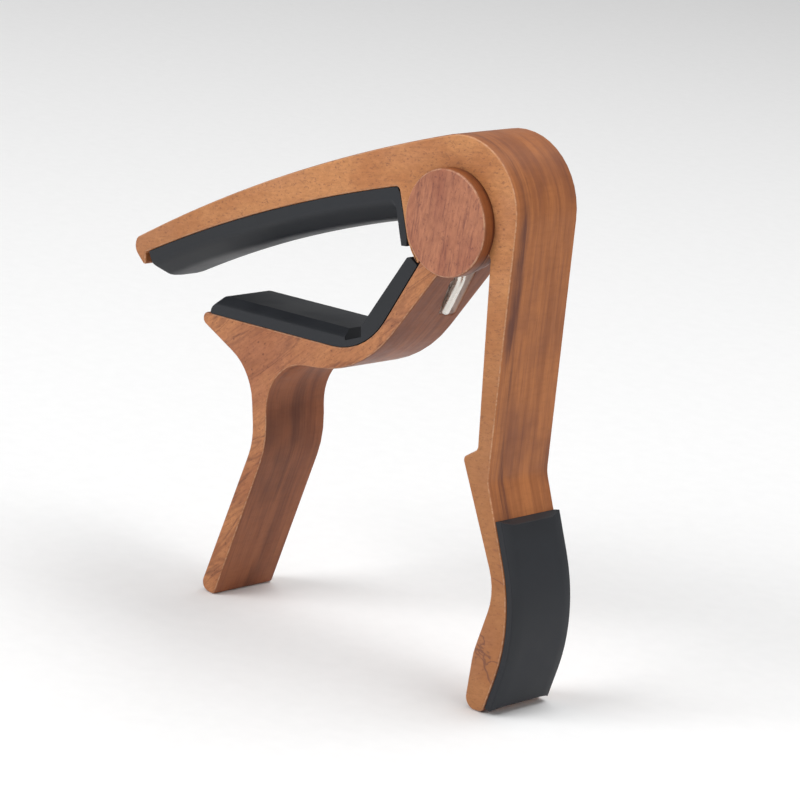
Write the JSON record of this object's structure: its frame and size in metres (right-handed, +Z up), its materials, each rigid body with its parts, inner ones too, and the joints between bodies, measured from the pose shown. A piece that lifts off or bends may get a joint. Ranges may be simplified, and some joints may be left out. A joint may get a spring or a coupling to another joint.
{
  "type": "trigger guitar capo",
  "caption": "Spring-loaded trigger capo for a guitar neck: an upper arm and a lower jaw on a pivot pin, with rubber pads and two squeeze handles.",
  "frame": {"origin": "on the surface the capo stands on, under the middle of its box, with the capo standing on the ends of its two handles", "axes": "+Z up, +X from the open end of the jaws towards the pivot, Y along the pivot pin; the pin's axis is parallel to Y at x 26.34 mm, z 77.6 mm"},
  "size_m": [0.0967, 0.0192, 0.0918],
  "materials": {
    "casting_finish": "zinc or aluminium casting under a wood-grain film, satin gloss",
    "cap_finish": "moulded cap under a wood-grain film, satin gloss",
    "pad_rubber": "matte charcoal silicone rubber",
    "spring_steel": "bright nickel-plated spring wire",
    "pin_steel": "turned steel",
    "clip_steel": "phosphated spring steel",
    "washer_nylon": "natural nylon"
  },
  "bodies": {
    "arm": {"upper_arm": "casting_finish", "pivot_pin": "pin_steel", "retaining_clip": "clip_steel", "washer_front": "washer_nylon", "washer_rear": "washer_nylon", "cap_front": "cap_finish", "cap_rear": "cap_finish", "torsion_spring": "spring_steel", "fret_pad": "pad_rubber", "grip_pad": "pad_rubber"},
    "jaw": {"lower_jaw": "casting_finish", "neck_pad": "pad_rubber"}
  },
  "joints": [
    {"name": "jaw_pivot", "type": "hinge", "parent": "arm", "child": "jaw", "pos_m": [0.02634, 0, 0.0776], "axis": [0, -1, 0], "range_deg": [0, 42], "stiffness_Nm_per_rad": 1, "springref_deg": -45.84, "deforming": ["torsion_spring"]}
  ]
}
